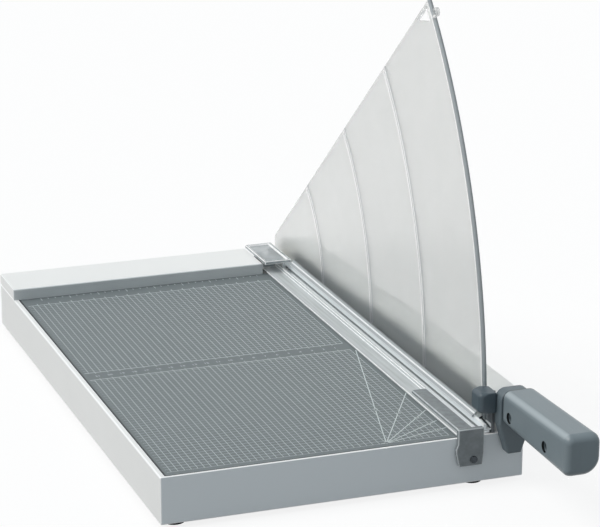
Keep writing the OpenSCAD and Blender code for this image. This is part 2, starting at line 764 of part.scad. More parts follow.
// Block that hooks round the guard's rim and rides up it with the arm
module guard_slider() {
    back = rim_inset + slider_lip;
    round_r = 3.5;
    color([0.2, 0.25, 0.28]) in_frame() difference() {
        union() {
            hull() {
                for (y = [slider_y + round_r, back - round_r], z = [round_r, slider_h - round_r])
                    translate([blade_x - slider_w + round_r, y, slider_z + z]) sphere(r = round_r, $fn = 24);
                box([guard_x - bead_h - 1, slider_y, slider_z], [guard_x - bead_h, back, slider_z + slider_h]);
            }
            box([guard_x - bead_h - over, slider_y, slider_z],
                [min(blade_x, collar_x - fit), slider_back, slider_z + slider_h]);
            box([guard_x - bead_h - over, arm_front + fit, slider_z],
                [blade_x, slider_back, slider_z + slider_h]);
        }
        bar_x(blade_x - slider_w + 4, blade_x + over, slider_bolt_y, slider_bolt_z, bolt_r);
    }
}

// Screw through tang, arm and blade into the slider
module slider_screw() {
    color("silver") in_frame() screw_x(arm_in + tang_t, slider_bolt_y, slider_bolt_z,
        arm_in + tang_t - blade_x + slider_w - 5, 1, bolt_r, bolt_head_r, bolt_head_h);
}

// Screws through the tang and the arm into the blade
module tang_screws() {
    color("silver") in_frame() for (y = tang_bolts)
        screw_x(arm_in + tang_t, y, tang_bolt_z, arm_in + tang_t - blade_x - 0.8, 1, bolt_r, bolt_head_r,
            bolt_head_h);
}

// Steel bar from the arm through the hand guard into the handle
module handle_tang() {
    color("silver") in_frame() difference() {
        translate([0, 0, tang_z]) linear_extrude(tang_h) polygon([
            [arm_in, tang_back], [arm_in, arm_front], [arm_in + tang_shift, handle_y],
            [arm_in + tang_shift, -handle_reach + 15],
            [arm_in + tang_shift + tang_t, -handle_reach + 15],
            [arm_in + tang_shift + tang_t, handle_y + 2], [arm_in + tang_t, arm_front],
            [arm_in + tang_t, tang_back]]);
        for (y = tang_bolts) bar_x(arm_in - over, arm_in + tang_t + over, y, tang_bolt_z, bolt_r + fit);
        bar_x(arm_in - over, arm_in + tang_t + over, slider_bolt_y, slider_bolt_z, bolt_r + fit);
        for (y = handle_bolts)
            bar_x(arm_in, split_x + tang_t, y, handle_bolt_z, bolt_r + fit);
    }
}

// Plate that keeps the hand off the blade
module hand_guard() {
    color([0.25, 0.3, 0.33]) in_frame() difference() {
        along_y(handle_y, arm_front) hull() {
            translate([collar_x + 8, handle_top - handle_fall - 8.5]) circle(r = 8, $fn = 32);
            translate([collar_x + 3, base_h + 11.5]) circle(r = 3, $fn = 32);
            translate([arm_x + 5.1, hand_guard_z + 1]) circle(r = 1, $fn = 32);
            translate([arm_x + 14.1, hand_guard_z + 1]) circle(r = 1, $fn = 32);
            translate([base_w - 3.5, base_h + 8.5]) circle(r = 3, $fn = 32);
            translate([base_w - 6.5, handle_top - handle_fall - 6.5]) circle(r = 6, $fn = 32);
        }
        box([arm_in - fit, handle_y - over, tang_z - fit],
            [arm_in + tang_shift + tang_t + fit, arm_front + over, tang_z + tang_h + fit]);
    }
}

// Section of the handle, drawn in by d and moved in by e, its top lowered and its underside raised by fall
module handle_section(d, fall, e = 0) {
    low = handle_z - handle_sink * (1 - fall / handle_fall) + e;
    high = handle_top - fall - e;
    hull() {
        translate([handle_x + 6 + e, high - 6]) circle(r = 6 - d, $fn = 32);
        translate([handle_right - 7 - e, high - 7]) circle(r = 7 - d, $fn = 32);
        translate([handle_right - palm_r, low + palm_r - e]) circle(r = palm_r - d - e, $fn = 32);
        translate([handle_x + 5.5 + e, low + 5.5]) circle(r = 5.5 - d, $fn = 32);
    }
}

// Outside of the whole handle, thinner towards the hand guard and domed in front
module handle_solid() {
    hull() {
        along_y(handle_y - 1, handle_y) handle_section(0, handle_fall);
        along_y(-handle_reach + handle_end, -handle_reach + handle_end + 1) handle_section(0, 0);
        along_y(-handle_reach + 3, -handle_reach + 4) handle_section(0.8, 0.2);
        along_y(-handle_reach + 1.2, -handle_reach + 2.2) handle_section(2.2, 0.5);
        along_y(-handle_reach, -handle_reach + 1) handle_section(4.4, 0.9);
    }
}

// Space inside the handle, with a boss round each screw on both sides of the tang
module handle_space() {
    difference() {
        along_y(-handle_reach + 12, handle_y - 4) handle_section(handle_wall, handle_fall);
        for (y = handle_bolts) {
            bar_x(handle_x, split_x - tang_t / 2 - fit, y, handle_bolt_z, recess_r + 1.5);
            bar_x(split_x + tang_t / 2 + fit, handle_right, y, handle_bolt_z, recess_r + 1.5);
        }
    }
    box([arm_in + tang_shift - fit, -handle_reach + 14, tang_z - fit],
        [arm_in + tang_shift + tang_t + fit, handle_y + over, tang_z + tang_h + fit]);
}

// Left half of the handle, with the screws' recesses
module handle_left_shell() {
    color([0.45, 0.48, 0.51]) in_frame() difference() {
        handle_solid();
        handle_space();
        box([split_x, -handle_reach - over, 0], [handle_right + over, over, handle_top + over]);
        for (y = handle_bolts) {
            bar_x(handle_x - over, handle_x + recess_d, y, handle_bolt_z, recess_r);
            bar_x(handle_x, split_x + over, y, handle_bolt_z, bolt_r + fit);
        }
    }
}

// Right half of the handle
module handle_right_shell() {
    color([0.45, 0.48, 0.51]) in_frame() difference() {
        handle_solid();
        handle_space();
        box([handle_x - over, -handle_reach - over, 0], [split_x, over, handle_top + over]);
        for (y = handle_bolts) bar_x(split_x - over, handle_screw_end, y, handle_bolt_z, bolt_r);
    }
}

// Screws through left shell and tang into the right shell
module handle_screws() {
    color("silver") in_frame() for (y = handle_bolts)
        screw_x(handle_x + recess_d, y, handle_bolt_z, handle_screw_end - over - handle_x - recess_d, -1, bolt_r,
            bolt_head_r, bolt_head_h);
}

// ---------------------------------------------------------------- clamp

// Clear bar that holds the paper, with a stiffening rib on its right edge
module clamp_bar() {
    color([0.85, 0.9, 0.92, 0.5]) in_frame() difference() {
        union() {
            box([clamp_x, cap_y + tab_t + 2 + fit, clamp_z], [clamp_right, clamp_back, clamp_z + clamp_t]);
            box([clamp_right - 2, cap_y + cap_l, clamp_z], [clamp_right, clamp_back, clamp_z + clamp_rib]);
        }
        for (y = [cap_y + cap_l - 10, leg_y + leg_t / 2]) {
            bar_z(clamp_x + 6.5, y, clamp_z - over, clamp_z + 0.8, head_r - 0.5);
            bar_z(clamp_x + 6.5, y, clamp_z - over, clamp_z + clamp_t + over, 1.2);
        }
        bar_z(front_post[0], front_post[1], clamp_z - over, clamp_z + clamp_t + over, post_r);
    }
}

// Smoky front cap: top panel on the bar's front end and a tab down the base's front
module clamp_front_cap() {
    color([0.4, 0.43, 0.44, 0.7]) in_frame() difference() {
        union() {
            box([cap_x, cap_y, clamp_z + clamp_t], [cap_x + cap_w, cap_y + cap_l - fit, cap_top]);
            box([tab_x, cap_y, clamp_z], [tab_right, cap_y + tab_t + 2, tab_top]);
            along_y(cap_y, cap_y + tab_t) polygon([
                [tab_x, tab_top], [tab_x, tab_top - 11], [tab_x - 1.6, tab_top - 15],
                [tab_x - 1.6, tab_top - 19], [tab_x + 0.8, tab_low], [tab_right - 1, tab_low],
                [tab_right, tab_low + 10], [tab_right, tab_top]]);
        }
        bar_z(front_post[0], front_post[1], clamp_z, clamp_z + 3, post_r);
        bar_z(clamp_x + 6.5, cap_y + cap_l - 10, clamp_z, clamp_z + clamp_t + 1.6, 1.2);
        bar_y(cap_y - over, 0, guide_x, guide_z, guide_r);
    }
}

// Clear back plate over the open end of the rail, with a leg down to the bar
module clamp_back_plate() {
    color([0.7, 0.75, 0.76, 0.6]) in_frame() difference() {
        union() {
            difference() {
                box([plate_x, plate_y, plate_z], [plate_right, base_l, plate_z + plate_t]);
                box([plate_x + plate_lip, plate_y + plate_lip, plate_z + plate_t - 1],
                    [plate_right - 1.6 * plate_lip, base_l - plate_lip, plate_z + plate_t + over]);
            }
            box([clamp_x, leg_y, clamp_z + clamp_t], [clamp_right - 2.1, leg_y + leg_t, plate_z + over]);
        }
        bar_z(rear_post[0], rear_post[1], plate_z - over, plate_z + 1.5, post_r);
        bar_z(clamp_x + 6.5, leg_y + leg_t / 2, clamp_z, clamp_z + clamp_t + 5, 1.2);
    }
}

// Screws from below that join the bar to the cap and to the back plate's leg
module clamp_screws() {
    color("silver") in_frame() {
        screw_up(clamp_x + 6.5, cap_y + cap_l - 10, clamp_z + 0.8, clamp_t + 0.6, 1.2, head_r - 0.6, 0.8);
        screw_up(clamp_x + 6.5, leg_y + leg_t / 2, clamp_z + 0.8, clamp_t + 0.6, 1.2, head_r - 0.6, 0.8);
    }
}

// Posts that guide the clamp up and down
module clamp_posts() {
    color("silver") in_frame() {
        bar_z(front_post[0], front_post[1], post_low, clamp_z + 3, post_r);
        bar_z(rear_post[0], rear_post[1], post_low, plate_z + 1.5, post_r);
    }
}

// Shouldered screw in the tab that slides in the base's front slot
module clamp_guide_screw() {
    color("silver") in_frame() {
        bar_y(cap_y - 1.2, cap_y, guide_x, guide_z, guide_r + 0.8);
        bar_y(cap_y, wall_t + 3.6, guide_x, guide_z, guide_r);
    }
}

// Collar nut behind the front wall
module clamp_guide_nut() {
    color("silver") in_frame() difference() {
        bar_y(wall_t + 0.3, wall_t + 3.3, guide_x, guide_z, guide_r + 2.5);
        bar_y(wall_t, wall_t + 4, guide_x, guide_z, guide_r);
    }
}

// Coil spring from height z0 to z1: a wire swept round a helix
module coil(z0, z1, turns) {
    steps = 14;
    sides = 6;
    rings = turns * steps;
    rise = (z1 - z0 - 2 * wire_r) / rings;
    points = [for (i = [0 : rings], k = [0 : sides - 1])
        let (a = i * 360 / steps, b = k * 360 / sides, r = coil_r + wire_r * cos(b))
        [r * cos(a), r * sin(a), z0 + wire_r + i * rise + wire_r * sin(b)]];
    sides_faces = [for (i = [0 : rings - 1], k = [0 : sides - 1])
        [i * sides + k, (i + 1) * sides + k, (i + 1) * sides + (k + 1) % sides, i * sides + (k + 1) % sides]];
    first = [for (k = [0 : sides - 1]) k];
    last = [for (k = [0 : sides - 1]) rings * sides + sides - 1 - k];
    polyhedron(points, concat(sides_faces, [first, last]));
}

// Spring that lifts the front of the clamp
module clamp_front_spring() {
    color("gray") in_frame() translate([front_post[0], front_post[1], 0])
        coil(front_seat, clamp_z, 5);
}

// Spring that lifts the back of the clamp
module clamp_rear_spring() {
    color("gray") in_frame() translate([rear_post[0], rear_post[1], 0])
        coil(rear_seat, plate_z, 5);
}

base_tray();
bottom_plate();
bottom_plate_screws();
rubber_feet();
foot_screws();
cutting_table();
back_rail();
rail_facing();
rail_screws();
bed_knife();
bed_knife_screws();
guard_channel();
guard_channel_screw();
guard_panel();
pivot_bracket();
bracket_screws();
pivot_bolt();
pivot_nut();
thrust_washer();
disc_spring();
arm_beam();
upper_blade();
blade_screws();
pivot_knuckle();
knuckle_screws();
pivot_bush();
guard_slider();
slider_screw();
hand_guard();
handle_tang();
tang_screws();
handle_left_shell();
handle_right_shell();
handle_screws();
clamp_bar();
clamp_front_cap();
clamp_back_plate();
clamp_screws();
clamp_posts();
clamp_guide_screw();
clamp_guide_nut();
clamp_front_spring();
clamp_rear_spring();
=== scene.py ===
# Guillotine paper cutter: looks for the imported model, in metres, in the order of assembly.
import collections
import json
import math
import bmesh
import bpy
from mathutils import Matrix, Vector


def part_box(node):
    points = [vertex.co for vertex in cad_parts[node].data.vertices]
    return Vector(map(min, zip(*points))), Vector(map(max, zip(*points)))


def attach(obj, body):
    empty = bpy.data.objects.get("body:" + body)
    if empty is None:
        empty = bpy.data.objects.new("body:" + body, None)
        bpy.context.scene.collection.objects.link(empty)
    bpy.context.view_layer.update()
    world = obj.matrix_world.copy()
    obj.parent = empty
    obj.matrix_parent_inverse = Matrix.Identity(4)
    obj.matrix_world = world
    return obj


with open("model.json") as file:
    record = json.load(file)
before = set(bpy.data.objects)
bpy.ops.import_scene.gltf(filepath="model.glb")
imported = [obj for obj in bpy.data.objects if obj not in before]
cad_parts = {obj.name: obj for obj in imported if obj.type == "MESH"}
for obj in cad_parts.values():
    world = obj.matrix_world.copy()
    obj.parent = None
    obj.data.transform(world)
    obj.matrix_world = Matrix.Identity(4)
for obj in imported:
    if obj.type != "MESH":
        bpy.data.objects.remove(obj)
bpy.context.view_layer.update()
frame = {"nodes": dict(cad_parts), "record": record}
MM = 0.001


# ---- Base tray
# A thin-walled metal tray that carries everything. Its paint is a satin off-white that dries to a
# slight orange peel. Its rounded edges are glossier and carry a white painted highlight, and its
# front faces get a cooler painted tint for the bluish shade there.

# The part of its range that a noise mostly fills
SPREAD = {"From Min": 0.3, "From Max": 0.7}


def linear(hex_colour):
    """sRGB hex to the linear colour that a shader takes."""
    parts = [int(hex_colour[i:i + 2], 16) / 255 for i in (1, 3, 5)]
    return [p / 12.92 if p <= 0.04045 else ((p + 0.055) / 1.055) ** 2.4 for p in parts] + [1.0]


def add_node(tree, kind, inputs=None, **settings):
    """Adds a node. An input is a value, or a pair of a node and its output."""
    node = tree.nodes.new("ShaderNode" + kind)
    for name, value in settings.items():
        setattr(node, name, value)
    for name, value in (inputs or {}).items():
        if isinstance(value, tuple) and isinstance(value[0], bpy.types.Node):
            tree.links.new(value[0].outputs[value[1]], node.inputs[name])
        else:
            node.inputs[name].default_value = value
    return node


def new_finish(name):
    """An empty material with its node tree."""
    finish = bpy.data.materials.new(name)
    finish.use_nodes = True
    finish.node_tree.nodes.clear()
    return finish, finish.node_tree


def mottle(tree, pattern, colour, darkest):
    """A colour that the pattern takes down to a share of itself in its darkest places."""
    shade = add_node(tree, "MapRange", {**SPREAD, "Value": (pattern, 0), "To Min": darkest,
                                        "To Max": 1.0})
    return add_node(tree, "Mix", {0: 1.0, 6: linear(colour), 7: (shade, 0)}, data_type="RGBA",
                    blend_type="MULTIPLY")


def end_in_shader(tree, inputs):
    """Closes a node tree with one shader and the material's output."""
    body = add_node(tree, "BsdfPrincipled", inputs)
    add_node(tree, "OutputMaterial", {"Surface": (body, 0)})


def shader_of(finish):
    """The shader that a finish ends in."""
    return next(node for node in finish.node_tree.nodes if node.type == "BSDF_PRINCIPLED")


def coat(name, colour, roughness, peel_mm, peel_depth_mm):
    """Painted or powder-coated metal: an even colour over an orange peel, drawn a little coarser
    than the real one, so that it shows, and faint clouds 60 mm across in its colour and sheen."""
    finish, tree = new_finish(name)
    place = add_node(tree, "TexCoord")
    peel = add_node(tree, "TexNoise", {"Vector": (place, "Object"), "Scale": 1000 / peel_mm,
                                       "Detail": 2.0})
    cloud = add_node(tree, "TexNoise", {"Vector": (place, "Object"), "Scale": 1000 / 60, "Detail": 3.0})
    sheen = add_node(tree, "MapRange", {**SPREAD, "Value": (cloud, 0), "To Min": roughness - 0.03,
                                        "To Max": roughness + 0.03})
    relief = add_node(tree, "Bump", {"Height": (peel, 0), "Strength": 0.35,
                                     "Distance": peel_depth_mm * MM})
    end_in_shader(tree, {"Base Color": (mottle(tree, cloud, colour, 0.97), 2), "Roughness": (sheen, 0),
                         "Normal": (relief, 0)})
    return finish


def overlay(finish, amount, colour):
    """Lays a second colour over a finish, as much of it as the given node says."""
    tree = finish.node_tree
    base_colour = shader_of(finish).inputs["Base Color"]
    tint = add_node(tree, "Mix", {0: (amount, 0), 7: linear(colour)}, data_type="RGBA")
    tree.links.new(base_colour.links[0].from_socket, tint.inputs[6])
    tree.links.new(tint.outputs[2], base_colour)


def dress(node, finish, edge_mm=0.4, steps=2, edge_finish=None, free=False):
    """Gives a CAD node its finish and eases its sharp edges, which may have a finish of their own.
    A free edge keeps its full width where the piece also has small holes."""
    piece = frame["nodes"][node]
    piece.data.materials.clear()
    piece.data.materials.append(finish)
    if edge_finish:
        piece.data.materials.append(edge_finish)
    piece.modifiers.new("weld", "WELD").merge_threshold = 0.00001
    if edge_mm:
        flat = piece.modifiers.new("flat", "DECIMATE")
        flat.decimate_type = "DISSOLVE"
        flat.angle_limit = math.radians(0.5)
        edge = piece.modifiers.new("edge", "BEVEL")
        edge.width = edge_mm * MM
        edge.segments = steps
        edge.limit_method = "ANGLE"
        edge.angle_limit = math.radians(35)
        edge.miter_outer = "MITER_ARC"
        edge.use_clamp_overlap = not free
        if edge_finish:
            edge.material = 1
    for face in piece.data.polygons:
        face.use_smooth = True
    piece.modifiers.new("creases", "WEIGHTED_NORMAL").keep_sharp = True


tray_coat = coat("powder_coat_satin_sprayed", "#EFEFED", 0.5, 0.9, 0.03)
tree = tray_coat.node_tree
facing = add_node(tree, "SeparateXYZ", {"Vector": (add_node(tree, "TexCoord"), "Normal")})
# Painted shade: a cooler tint on the faces turned to the front
front = add_node(tree, "Math", {0: (facing, "Y"), 1: -0.9}, operation="LESS_THAN")
overlay(tray_coat, front, "#EDF1F3")
# White, glossier finish for the rounded edges: a painted highlight
edge_highlight_coat = coat("powder_coat_edge_painted_highlight", "#FFFFFF", 0.32, 0.9, 0.01)
dress("base_tray", tray_coat, 0.9, 3, edge_highlight_coat, free=True)


# ---- Bottom plate and rubber feet
# A steel sheet with dull dark grey paint closes the tray from below. The feet are moulded in black
# rubber, and their screws go up through the plate into the tray's bosses.

plate_coat = coat("paint_dull_grey_rolled", "#66696B", 0.6, 1.2, 0.03)
dress("bottom_plate", plate_coat, 0.3)


def moulded(name, colour, roughness, grain_mm, grain_depth_mm):
    """Moulded plastic or rubber: an even colour, with flow marks 25 mm across, under the grain of a
    spark-eroded mould. The real grain is about 0.1 mm and wouldn't show, so it is drawn coarser."""
    finish, tree = new_finish(name)
    place = add_node(tree, "TexCoord")
    grain = add_node(tree, "TexNoise", {"Vector": (place, "Object"), "Scale": 1000 / grain_mm,
                                        "Detail": 2.0})
    flow = add_node(tree, "TexNoise", {"Vector": (place, "Object"), "Scale": 1000 / 25, "Detail": 2.0})
    dull = add_node(tree, "MapRange", {**SPREAD, "Value": (grain, 0), "To Min": roughness - 0.04,
                                       "To Max": roughness + 0.04})
    relief = add_node(tree, "Bump", {"Height": (grain, 0), "Strength": 0.4,
                                     "Distance": grain_depth_mm * MM})
    end_in_shader(tree, {"Base Color": (mottle(tree, flow, colour, 0.95), 2), "Roughness": (dull, 0),
                         "Normal": (relief, 0)})
    return finish


dress("rubber_feet", moulded("rubber_moulded_black", "#0D0E0F", 0.9, 0.8, 0.05), 0.6)


# ---- Screws and nuts
# Machine screws and nuts in zinc-plated steel, which is bright with a faint grain. Only the screw
# that guides the clamp's tab is in black oxide, which looks dark and slightly patchy.

def plated(name, colour, roughness, grain_mm, stretch=(1, 1, 1), mark=0.14):
    """Bare or plated metal: a grain stretched along the way it was ground or rolled. Grinding lines
    are a few hundredths of a millimetre apart, so the grain is drawn far coarser to show."""
    finish, tree = new_finish(name)
    place = add_node(tree, "TexCoord")
    along = add_node(tree, "Mapping", {"Vector": (place, "Object"), "Scale": stretch})
    grain = add_node(tree, "TexNoise", {"Vector": (along, 0), "Scale": 1000 / grain_mm, "Detail": 3.0})
    dull = add_node(tree, "MapRange", {**SPREAD, "Value": (grain, 0), "To Min": roughness + mark / 2,
                                       "To Max": roughness - mark / 4})
    relief = add_node(tree, "Bump", {"Height": (grain, 0), "Strength": mark, "Distance": 0.02 * MM})
    end_in_shader(tree, {"Base Color": (mottle(tree, grain, colour, 1 - mark), 2), "Metallic": 1.0,
                         "Roughness": (dull, 0), "Normal": (relief, 0)})
    return finish


screw_finish = plated("steel_zinc_plated", "#C9CBCD", 0.32, 1.5)
for node in ("bottom_plate_screws", "foot_screws", "rail_screws", "bed_knife_screws",
             "bracket_screws", "guard_channel_screw", "blade_screws", "knuckle_screws",
             "slider_screw", "tang_screws", "clamp_screws", "clamp_guide_nut", "pivot_nut"):
    dress(node, screw_finish, 0.15)
dress("clamp_guide_screw", plated("steel_black_oxide", "#44494D", 0.3, 1.5, mark=0.3), 0.3)


# ---- Cutting table and its print
# A rigid sheet with a matt grey film, with painted shade along its left and front edges and a
# strip of painted light next to the clamp. It is screen-printed in pale ink: a 5 mm grid, two
# centre rulers, ticks and angles.

film = moulded("vinyl_film_matt_printed", "#6E7678", 0.62, 0.6, 0.02)
table_low, table_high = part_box("cutting_table")
clamp_low, clamp_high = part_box("clamp_bar")
rail_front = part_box("rail_facing")[0].y
EDGE_SHADE = 0.9 * MM

tree = film.node_tree
inside = add_node(tree, "SeparateXYZ", {"Vector": (add_node(tree, "TexCoord"), "Object")})
# Painted shade along the left and front edges of the film
left = add_node(tree, "Math", {0: (inside, "X"), 1: table_low.x + EDGE_SHADE}, operation="LESS_THAN")
front = add_node(tree, "Math", {0: (inside, "Y"), 1: table_low.y + EDGE_SHADE}, operation="LESS_THAN")
shaded = add_node(tree, "Math", {0: (left, 0), 1: (front, 0)}, operation="MAXIMUM")
overlay(film, shaded, "#34393B")
# Painted light on the strip of film next to the clamp
painted_light_strip = add_node(tree, "Math", {0: (inside, "X"), 1: clamp_high.x - 1 * MM}, operation="GREATER_THAN")
overlay(film, painted_light_strip, "#E4E8E9")
dress("cutting_table", film, 0.2)

INK_HEIGHT = 0.04 * MM
GRID_STEP = 5 * MM
CENTIMETRE = 10 * MM
QUARTER_INCH = 25.4 / 4 * MM
FIGURE_HEIGHT = 3 * MM
LINE_WIDTH = 0.38 * MM
ALONG_WIDTH, ACROSS_WIDTH = LINE_WIDTH * 1.1, LINE_WIDTH * 0.75
TICK_WIDTH, BORDER_WIDTH = LINE_WIDTH * 1.8, LINE_WIDTH * 2.2
grid_front = table_low.y + 6.4 * MM
grid_back = rail_front - 18.95 * MM
grid_left = table_low.x + 3.0 * MM
grid_right = table_low.x + 221.5 * MM
ruler_front = grid_front + 203.3 * MM
ruler_back = grid_front + 219.9 * MM


def ink(name, colour):
    """Screen-printed ink: flat and matt, with starved patches about 4 mm across."""
    finish, tree = new_finish(name)
    place = add_node(tree, "TexCoord")
    screen = add_node(tree, "TexNoise", {"Vector": (place, "Object"), "Scale": 1000 / 4, "Detail": 3.0})
    end_in_shader(tree, {"Base Color": (mottle(tree, screen, colour, 0.93), 2), "Roughness": 0.6})
    return finish


def stroke(mesh, start, end, width):
    """One printed line between two places on the table, as a closed slab of ink."""
    start, end = Vector(start), Vector(end)
    side = Vector((-(end - start).y, (end - start).x)).normalized() * width / 2
    corners = [start - side, end - side, end + side, start + side]
    low = [mesh.verts.new((c.x, c.y, table_high.z)) for c in corners]
    high = [mesh.verts.new((c.x, c.y, table_high.z + INK_HEIGHT)) for c in corners]
    mesh.faces.new(low[::-1])
    mesh.faces.new(high)
    for i in range(4):
        mesh.faces.new((low[i], low[(i + 1) % 4], high[(i + 1) % 4], high[i]))


def number(mesh, text, x, y):
    """A printed number standing on its baseline at a place on the table."""
    letters = bpy.data.curves.new("digits", "FONT")
    letters.body = text
    letters.size = FIGURE_HEIGHT / 0.7
    letters.align_x = "CENTER"
    letters.extrude = INK_HEIGHT / 2
    letters.resolution_u = 2
    carrier = bpy.data.objects.new("digits", letters)
    solid = bpy.data.meshes.new_from_object(carrier)
    solid.transform(Matrix.Translation((x, y, table_high.z + INK_HEIGHT / 2)))
    mesh.from_mesh(solid)
    bpy.data.objects.remove(carrier)
    bpy.data.curves.remove(letters)
    bpy.data.meshes.remove(solid)


def build(name, mesh, finish):
    """Turns a built mesh into an object with its finish."""
    data = bpy.data.meshes.new(name)
    mesh.to_mesh(data)
    mesh.free()
    data.materials.append(finish)
    piece = bpy.data.objects.new(name, data)
    bpy.context.collection.objects.link(piece)
    return piece


grid = bmesh.new()
for i in range(int((grid_right - grid_left) / GRID_STEP) + 1):
    x = grid_right - i * GRID_STEP
    for y0, y1 in ((grid_front, ruler_front), (ruler_back, grid_back)):
        stroke(grid, (x, y0), (x, y1), ALONG_WIDTH)
for i in range(int((grid_back - grid_front) / GRID_STEP) + 1):
    y = grid_front + i * GRID_STEP
    if not ruler_front - 1 * MM < y < ruler_back + 1 * MM:
        stroke(grid, (grid_left, y), (grid_right, y), ACROSS_WIDTH)
for y in (ruler_front, ruler_back, grid_back):
    stroke(grid, (grid_left, y), (grid_right, y), BORDER_WIDTH)
for i in range(1, int((grid_right - grid_left) / CENTIMETRE) + 1):
    x = grid_right - i * CENTIMETRE
    number(grid, str(i), x, ruler_front + 6.6 * MM)
    stroke(grid, (x, ruler_front), (x, ruler_front + 3 * MM), LINE_WIDTH)
    stroke(grid, (x, ruler_back - 3 * MM), (x, ruler_back), LINE_WIDTH)
    stroke(grid, (x, grid_back), (x, grid_back + 4 * MM), TICK_WIDTH)
for i in range(1, int((grid_right - grid_left) / (4 * QUARTER_INCH)) * 4 + 1):
    x = grid_right - i * QUARTER_INCH
    tick = (3 if i % 4 else 6) * MM
    stroke(grid, (x, rail_front - 1 * MM - tick), (x, rail_front - 1 * MM), TICK_WIDTH)
table_grid = build("table_grid_print", grid, ink("ink_pale_grey_screen_printed", "#C2CACB"))
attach(table_grid, "base")

fan = bmesh.new()
fan_start = Vector((clamp_low.x - 53.4 * MM, table_low.y + 6.8 * MM))
FAN_WIDTH, CROSS_WIDTH = 0.75 * MM, 0.6 * MM
# Each line's angle, its length and how far out its figure stands
for angle, reach_mm, figure_mm in ((15, 56, 47), (30, 61, 51), (45, 76, 58), (60, 136, 63),
                                   (75, 207, 70)):
    along = Vector((math.cos(math.radians(angle)), math.sin(math.radians(angle))))
    middle = fan_start + along * figure_mm * MM
    stroke(fan, fan_start, middle - along * 2.4 * MM, FAN_WIDTH)
    stroke(fan, middle + along * 2.4 * MM, fan_start + along * reach_mm * MM, FAN_WIDTH)
    number(fan, str(angle), middle.x, middle.y - FIGURE_HEIGHT / 2)
stroke(fan, fan_start - Vector((4, 0)) * MM, fan_start + Vector((4, 0)) * MM, CROSS_WIDTH)
stroke(fan, fan_start - Vector((0, 2)) * MM, fan_start + Vector((0, 3)) * MM, CROSS_WIDTH)
table_fan = build("table_angle_print", fan, ink("ink_white_screen_printed", "#D2DADA"))
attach(table_fan, "base")


# ---- Back rail and its facing
# An extruded metal rail in the tray's satin off-white, screwed on from below. A dull pale grey
# plastic strip is bonded to its front, and the paper is squared against that.

rail_coat = coat("powder_coat_on_extrusion", "#F1F1EF", 0.48, 1.1, 0.02)
# Its rounded edges take the same white painted highlight as the tray's
dress("back_rail", rail_coat, 0.5, 2, edge_highlight_coat, free=True)
dress("rail_facing", moulded("pvc_extruded_pale", "#CDD1D2", 0.5, 0.7, 0.02), 0.2)


# ---- Bed knife
# A strip of hardened steel, ground along its length to a bright streaky face and screwed to the
# tray's rib. The upper blade shears past its edge.

dress("bed_knife", plated("steel_ground_bright", "#D4D6D8", 0.24, 2.0, (1, 0.06, 1)), 0.1)


# ---- Guard: the quarter-round sheet that stands along the cut
# It is moulded in clear acrylic with a light haze. Each round bead on its face carries a painted
# highlight with a line of painted shade outside it. The rim and the flange at its foot, where one
# looks into more plastic, are denser, and their greys and pale lines are painted shade and
# painted highlights.

PIVOT = Vector(frame["record"]["behaviour"]["joints"][0]["pos_m"])
guard_mesh = frame["nodes"]["guard_panel"].data
levels = collections.Counter(round(v.co.x, 5) for v in guard_mesh.vertices)
sheet_x = levels.most_common(1)[0][0]
bead_x = max((x for x in levels if x < sheet_x), key=lambda x: levels[x])
bead_radii = sorted({round(math.hypot(v.co.y - PIVOT.y, v.co.z - PIVOT.z), 4)
                     for v in guard_mesh.vertices if abs(v.co.x - bead_x) < 0.01 * MM})
rim_radius = PIVOT.y - min(v.co.y for v in guard_mesh.vertices if v.co.z < PIVOT.z + 30 * MM)

guard_acrylic, tree = new_finish("acrylic_moulded_clear")
place = add_node(tree, "TexCoord")
inside = add_node(tree, "SeparateXYZ", {"Vector": (place, "Object")})
from_pivot = add_node(tree, "VectorMath", {0: (place, "Object"), 1: PIVOT}, operation="SUBTRACT")
in_plane = add_node(tree, "VectorMath", {0: (from_pivot, 0), 1: (0.0, 1.0, 1.0)},
                    operation="MULTIPLY")
radius = add_node(tree, "VectorMath", {0: (in_plane, 0)}, operation="LENGTH")
facing = add_node(tree, "SeparateXYZ", {"Vector": (place, "Normal")})
broad = add_node(tree, "Math", {0: (facing, "X")}, operation="ABSOLUTE")
side = add_node(tree, "Math", {0: (broad, 0), 1: 0.85}, operation="LESS_THAN")
face = add_node(tree, "Math", {0: 1.0, 1: (side, 0)}, operation="SUBTRACT")

# The rim is painted grey near the sheet and darker towards its far lip, as painted shade, and a pale
# painted highlight runs inside it
outer = add_node(tree, "Math", {0: (radius, "Value"), 1: rim_radius, 2: 0.4 * MM}, operation="COMPARE")
rim = add_node(tree, "Math", {0: (side, 0), 1: (outer, 0)}, operation="MULTIPLY")
far = add_node(tree, "MapRange", {"Value": (inside, "X"), "From Min": sheet_x + 1.2 * MM,
                                  "From Max": sheet_x + 2.8 * MM})
far_rim_shade = add_node(tree, "Math", {0: (rim, 0), 1: (far, 0)}, operation="MULTIPLY")
rim_highlight = add_node(tree, "Math", {0: (radius, "Value"), 1: rim_radius - 1.2 * MM, 2: 0.9 * MM},
                    operation="COMPARE")

# The foot is painted a shaded grey, with a painted highlight along its crest and a paler one on its
# left lip
foot = add_node(tree, "Math", {0: (inside, "X"), 1: bead_x - 0.1 * MM}, operation="LESS_THAN")
foot_crest_highlight = add_node(tree, "Math", {0: (inside, "X"), 1: bead_x - 1.8 * MM, 2: 0.5 * MM},
                      operation="COMPARE")
foot_lip_highlight = add_node(tree, "Math", {0: (inside, "X"), 1: bead_x - 3.8 * MM}, operation="LESS_THAN")
